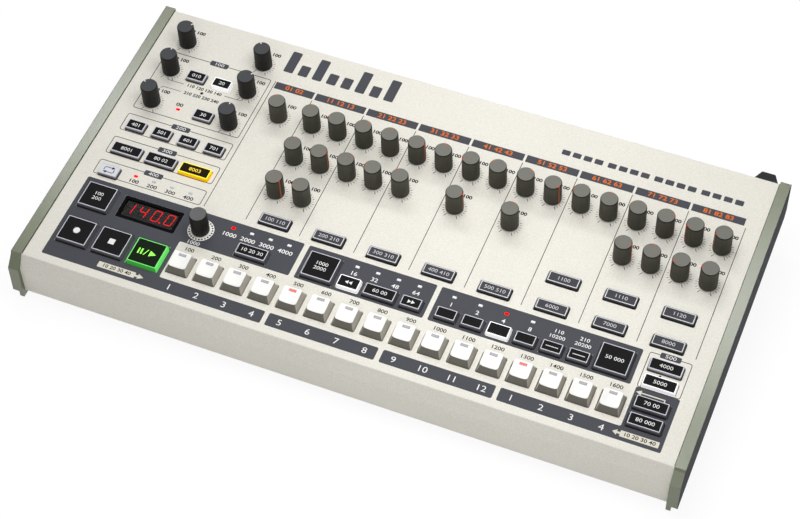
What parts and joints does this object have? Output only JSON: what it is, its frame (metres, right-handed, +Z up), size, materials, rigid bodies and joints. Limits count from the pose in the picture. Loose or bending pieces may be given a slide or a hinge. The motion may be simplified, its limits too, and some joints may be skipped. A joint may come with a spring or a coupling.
{
  "type": "drum machine",
  "caption": "Table-top electronic drum machine: sloping panel of rotary knobs, square buttons and a row of step keys, between two end cheeks.",
  "frame": {"origin": "on the table, under the middle of the machine's whole outline", "axes": "+X to the right along the row of step keys, +Y to the rear, where the sockets are, +Z up"},
  "size_m": [0.497, 0.265, 0.0799],
  "materials": {
    "cream_paint": "fine-textured cream",
    "green_cheek": "matte grey-green",
    "tray_paint": "matte black paint",
    "rear_paint": "cream paint",
    "rubber": "matte",
    "screw_steel": "black zinc",
    "jack_body": "moulded black with a plated nose",
    "socket_black": "moulded black",
    "board": "green circuit board",
    "pot_steel": "plated",
    "switch_black": "moulded black",
    "lamp_red": "clear red lens",
    "display_black": "black",
    "smoked_window": "smoked red",
    "button_grey": "dark grey with a pale rim",
    "button_black": "black face with a pale rim",
    "key_white": "satin white",
    "knob_black": "satin black with a white pointer",
    "knob_grey": "satin grey with an orange pointer"
  },
  "bodies": {
    "housing": {"top_case": "cream_paint", "left_cheek": "green_cheek", "right_cheek": "green_cheek", "base_tray": "tray_paint", "rubber_feet": "rubber", "case_screws": "screw_steel", "rear_panel": "rear_paint", "audio_jacks": "jack_body", "power_and_data_sockets": "socket_black", "cord_hook": "socket_black", "control_board": "board", "io_board": "board", "potentiometers": "pot_steel", "button_switches": "switch_black", "led_lamps": "lamp_red", "display_module": "display_black", "display_window": "smoked_window"},
    "knob_accent": {"knob_accent": "knob_grey"},
    "knob_bass_1": {"knob_bass_1": "knob_grey"},
    "knob_bass_2": {"knob_bass_2": "knob_grey"},
    "knob_bass_3": {"knob_bass_3": "knob_grey"},
    "knob_bass_4": {"knob_bass_4": "knob_grey"},
    "knob_bass_5": {"knob_bass_5": "knob_grey"},
    "knob_bass_6": {"knob_bass_6": "knob_grey"},
    "knob_snare_1": {"knob_snare_1": "knob_grey"},
    "knob_snare_2": {"knob_snare_2": "knob_grey"},
    "knob_snare_3": {"knob_snare_3": "knob_grey"},
    "knob_snare_4": {"knob_snare_4": "knob_grey"},
    "knob_low_1": {"knob_low_1": "knob_grey"},
    "knob_low_2": {"knob_low_2": "knob_grey"},
    "knob_low_3": {"knob_low_3": "knob_grey"},
    "knob_mid_1": {"knob_mid_1": "knob_grey"},
    "knob_mid_2": {"knob_mid_2": "knob_grey"},
    "knob_mid_3": {"knob_mid_3": "knob_grey"},
    "knob_high_1": {"knob_high_1": "knob_grey"},
    "knob_high_2": {"knob_high_2": "knob_grey"},
    "knob_high_3": {"knob_high_3": "knob_grey"},
    "knob_rim_1": {"knob_rim_1": "knob_grey"},
    "knob_rim_2": {"knob_rim_2": "knob_grey"},
    "knob_hat_1": {"knob_hat_1": "knob_grey"},
    "knob_hat_2": {"knob_hat_2": "knob_grey"},
    "knob_hat_3": {"knob_hat_3": "knob_grey"},
    "knob_hat_4": {"knob_hat_4": "knob_grey"},
    "knob_cymbal_1": {"knob_cymbal_1": "knob_grey"},
    "knob_cymbal_2": {"knob_cymbal_2": "knob_grey"},
    "knob_cymbal_3": {"knob_cymbal_3": "knob_grey"},
    "knob_cymbal_4": {"knob_cymbal_4": "knob_grey"},
    "knob_left_1": {"knob_left_1": "knob_black"},
    "knob_left_2": {"knob_left_2": "knob_black"},
    "knob_left_3": {"knob_left_3": "knob_black"},
    "knob_right_1": {"knob_right_1": "knob_black"},
    "knob_right_2": {"knob_right_2": "knob_black"},
    "knob_right_3": {"knob_right_3": "knob_black"},
    "knob_data": {"knob_data": "knob_black"},
    "voice_buttons": {"voice_buttons": "button_grey"},
    "square_buttons": {"square_buttons": "button_black"},
    "function_buttons": {"function_buttons": "button_black"},
    "pattern_buttons": {"pattern_buttons": "button_black"},
    "step_keys": {"step_keys": "key_white"},
    "power_rocker": {"power_rocker": "socket_black"}
  },
  "joints": [
    {"name": "turn_accent", "type": "hinge", "parent": "housing", "child": "knob_accent", "pos_m": [-0.121, 0.05349, 0.05649], "axis": [0, 0.0828, -0.9966], "range_deg": [-121, 179]},
    {"name": "turn_bass_1", "type": "hinge", "parent": "housing", "child": "knob_bass_1", "pos_m": [-0.09398, 0.05349, 0.05649], "axis": [0, 0.0828, -0.9966], "range_deg": [-145, 155]},
    {"name": "turn_bass_2", "type": "hinge", "parent": "housing", "child": "knob_bass_2", "pos_m": [-0.07337, 0.05349, 0.05649], "axis": [0, 0.0828, -0.9966], "range_deg": [-57, 243]},
    {"name": "turn_bass_3", "type": "hinge", "parent": "housing", "child": "knob_bass_3", "pos_m": [-0.09398, 0.0211, 0.0538], "axis": [0, 0.0828, -0.9966], "range_deg": [-145, 155]},
    {"name": "turn_bass_4", "type": "hinge", "parent": "housing", "child": "knob_bass_4", "pos_m": [-0.07337, 0.0211, 0.0538], "axis": [0, 0.0828, -0.9966], "range_deg": [-243, 57]},
    {"name": "turn_bass_5", "type": "hinge", "parent": "housing", "child": "knob_bass_5", "pos_m": [-0.09398, -0.01149, 0.05109], "axis": [0, 0.0828, -0.9966], "range_deg": [-269, 31]},
    {"name": "turn_bass_6", "type": "hinge", "parent": "housing", "child": "knob_bass_6", "pos_m": [-0.07337, -0.01149, 0.05109], "axis": [0, 0.0828, -0.9966], "range_deg": [-32, 268]},
    {"name": "turn_snare_1", "type": "hinge", "parent": "housing", "child": "knob_snare_1", "pos_m": [-0.05233, 0.05349, 0.05649], "axis": [0, 0.0828, -0.9966], "range_deg": [-180, 120]},
    {"name": "turn_snare_2", "type": "hinge", "parent": "housing", "child": "knob_snare_2", "pos_m": [-0.03173, 0.05349, 0.05649], "axis": [0, 0.0828, -0.9966], "range_deg": [-152, 148]},
    {"name": "turn_snare_3", "type": "hinge", "parent": "housing", "child": "knob_snare_3", "pos_m": [-0.05233, 0.0211, 0.0538], "axis": [0, 0.0828, -0.9966], "range_deg": [-192, 108]},
    {"name": "turn_snare_4", "type": "hinge", "parent": "housing", "child": "knob_snare_4", "pos_m": [-0.03173, 0.0211, 0.0538], "axis": [0, 0.0828, -0.9966], "range_deg": [-65, 235]},
    {"name": "turn_low_1", "type": "hinge", "parent": "housing", "child": "knob_low_1", "pos_m": [-0.01068, 0.05349, 0.05649], "axis": [0, 0.0828, -0.9966], "range_deg": [-245, 55]},
    {"name": "turn_low_2", "type": "hinge", "parent": "housing", "child": "knob_low_2", "pos_m": [0.00992, 0.05349, 0.05649], "axis": [0, 0.0828, -0.9966], "range_deg": [-152, 148]},
    {"name": "turn_low_3", "type": "hinge", "parent": "housing", "child": "knob_low_3", "pos_m": [-0.01068, 0.0211, 0.0538], "axis": [0, 0.0828, -0.9966], "range_deg": [-120, 180]},
    {"name": "turn_mid_1", "type": "hinge", "parent": "housing", "child": "knob_mid_1", "pos_m": [0.03097, 0.05349, 0.05649], "axis": [0, 0.0828, -0.9966], "range_deg": [-29, 271]},
    {"name": "turn_mid_2", "type": "hinge", "parent": "housing", "child": "knob_mid_2", "pos_m": [0.05158, 0.05349, 0.05649], "axis": [0, 0.0828, -0.9966], "range_deg": [-94, 206]},
    {"name": "turn_mid_3", "type": "hinge", "parent": "housing", "child": "knob_mid_3", "pos_m": [0.03097, 0.0211, 0.0538], "axis": [0, 0.0828, -0.9966], "range_deg": [-240, 60]},
    {"name": "turn_high_1", "type": "hinge", "parent": "housing", "child": "knob_high_1", "pos_m": [0.07262, 0.05349, 0.05649], "axis": [0, 0.0828, -0.9966], "range_deg": [-181, 119]},
    {"name": "turn_high_2", "type": "hinge", "parent": "housing", "child": "knob_high_2", "pos_m": [0.09323, 0.05349, 0.05649], "axis": [0, 0.0828, -0.9966], "range_deg": [-269, 31]},
    {"name": "turn_high_3", "type": "hinge", "parent": "housing", "child": "knob_high_3", "pos_m": [0.07262, 0.0211, 0.0538], "axis": [0, 0.0828, -0.9966], "range_deg": [-154, 146]},
    {"name": "turn_rim_1", "type": "hinge", "parent": "housing", "child": "knob_rim_1", "pos_m": [0.11428, 0.05349, 0.05649], "axis": [0, 0.0828, -0.9966], "range_deg": [-59, 241]},
    {"name": "turn_rim_2", "type": "hinge", "parent": "housing", "child": "knob_rim_2", "pos_m": [0.13487, 0.05349, 0.05649], "axis": [0, 0.0828, -0.9966], "range_deg": [-152, 148]},
    {"name": "turn_hat_1", "type": "hinge", "parent": "housing", "child": "knob_hat_1", "pos_m": [0.15593, 0.05349, 0.05649], "axis": [0, 0.0828, -0.9966], "range_deg": [-90, 210]},
    {"name": "turn_hat_2", "type": "hinge", "parent": "housing", "child": "knob_hat_2", "pos_m": [0.17652, 0.05349, 0.05649], "axis": [0, 0.0828, -0.9966], "range_deg": [-211, 89]},
    {"name": "turn_hat_3", "type": "hinge", "parent": "housing", "child": "knob_hat_3", "pos_m": [0.15593, 0.0211, 0.0538], "axis": [0, 0.0828, -0.9966], "range_deg": [-245, 55]},
    {"name": "turn_hat_4", "type": "hinge", "parent": "housing", "child": "knob_hat_4", "pos_m": [0.17652, 0.0211, 0.0538], "axis": [0, 0.0828, -0.9966], "range_deg": [-150, 150]},
    {"name": "turn_cymbal_1", "type": "hinge", "parent": "housing", "child": "knob_cymbal_1", "pos_m": [0.19758, 0.05349, 0.05649], "axis": [0, 0.0828, -0.9966], "range_deg": [-28, 272]},
    {"name": "turn_cymbal_2", "type": "hinge", "parent": "housing", "child": "knob_cymbal_2", "pos_m": [0.21818, 0.05349, 0.05649], "axis": [0, 0.0828, -0.9966], "range_deg": [-29, 271]},
    {"name": "turn_cymbal_3", "type": "hinge", "parent": "housing", "child": "knob_cymbal_3", "pos_m": [0.19758, 0.0211, 0.0538], "axis": [0, 0.0828, -0.9966], "range_deg": [-33, 267]},
    {"name": "turn_cymbal_4", "type": "hinge", "parent": "housing", "child": "knob_cymbal_4", "pos_m": [0.21818, 0.0211, 0.0538], "axis": [0, 0.0828, -0.9966], "range_deg": [-56, 244]},
    {"name": "turn_left_1", "type": "hinge", "parent": "housing", "child": "knob_left_1", "pos_m": [-0.2159, 0.09614, 0.06003], "axis": [0, 0.0828, -0.9966], "range_deg": [-198, 102]},
    {"name": "turn_left_2", "type": "hinge", "parent": "housing", "child": "knob_left_2", "pos_m": [-0.2159, 0.06694, 0.05761], "axis": [0, 0.0828, -0.9966], "range_deg": [-152, 148]},
    {"name": "turn_left_3", "type": "hinge", "parent": "housing", "child": "knob_left_3", "pos_m": [-0.2159, 0.03395, 0.05487], "axis": [0, 0.0828, -0.9966], "range_deg": [-91, 209]},
    {"name": "turn_right_1", "type": "hinge", "parent": "housing", "child": "knob_right_1", "pos_m": [-0.1525, 0.09614, 0.06003], "axis": [0, 0.0828, -0.9966], "range_deg": [-120, 180]},
    {"name": "turn_right_2", "type": "hinge", "parent": "housing", "child": "knob_right_2", "pos_m": [-0.1525, 0.06694, 0.05761], "axis": [0, 0.0828, -0.9966], "range_deg": [-194, 106]},
    {"name": "turn_right_3", "type": "hinge", "parent": "housing", "child": "knob_right_3", "pos_m": [-0.1525, 0.03395, 0.05487], "axis": [0, 0.0828, -0.9966], "range_deg": [-154, 146]},
    {"name": "turn_data", "type": "hinge", "parent": "housing", "child": "knob_data", "pos_m": [-0.1304, -0.06092, 0.04698], "axis": [0, 0.0828, -0.9966], "continuous": true},
    {"name": "press_voice_buttons", "type": "slide", "parent": "housing", "child": "voice_buttons", "axis": [0, 0.0828, -0.9966], "range_m": [0, 0.0012], "stiffness_N_per_m": 900, "springref_m": -0.0015},
    {"name": "press_square_buttons", "type": "slide", "parent": "housing", "child": "square_buttons", "axis": [0, 0.0828, -0.9966], "range_m": [0, 0.0012], "stiffness_N_per_m": 900, "springref_m": -0.0015},
    {"name": "press_function_buttons", "type": "slide", "parent": "housing", "child": "function_buttons", "axis": [0, 0.0828, -0.9966], "range_m": [0, 0.0012], "stiffness_N_per_m": 600, "springref_m": -0.0015},
    {"name": "press_pattern_buttons", "type": "slide", "parent": "housing", "child": "pattern_buttons", "axis": [0, 0.0828, -0.9966], "range_m": [0, 0.0012], "stiffness_N_per_m": 900, "springref_m": -0.0015},
    {"name": "press_step_keys", "type": "slide", "parent": "housing", "child": "step_keys", "axis": [0, 0.0828, -0.9966], "range_m": [0, 0.002], "stiffness_N_per_m": 1500, "springref_m": -0.0015},
    {"name": "tip_power_rocker", "type": "hinge", "parent": "housing", "child": "power_rocker", "pos_m": [0.1855, 0.12294, 0.03818], "axis": [1, 0, 0], "range_deg": [-16, 0]}
  ]
}
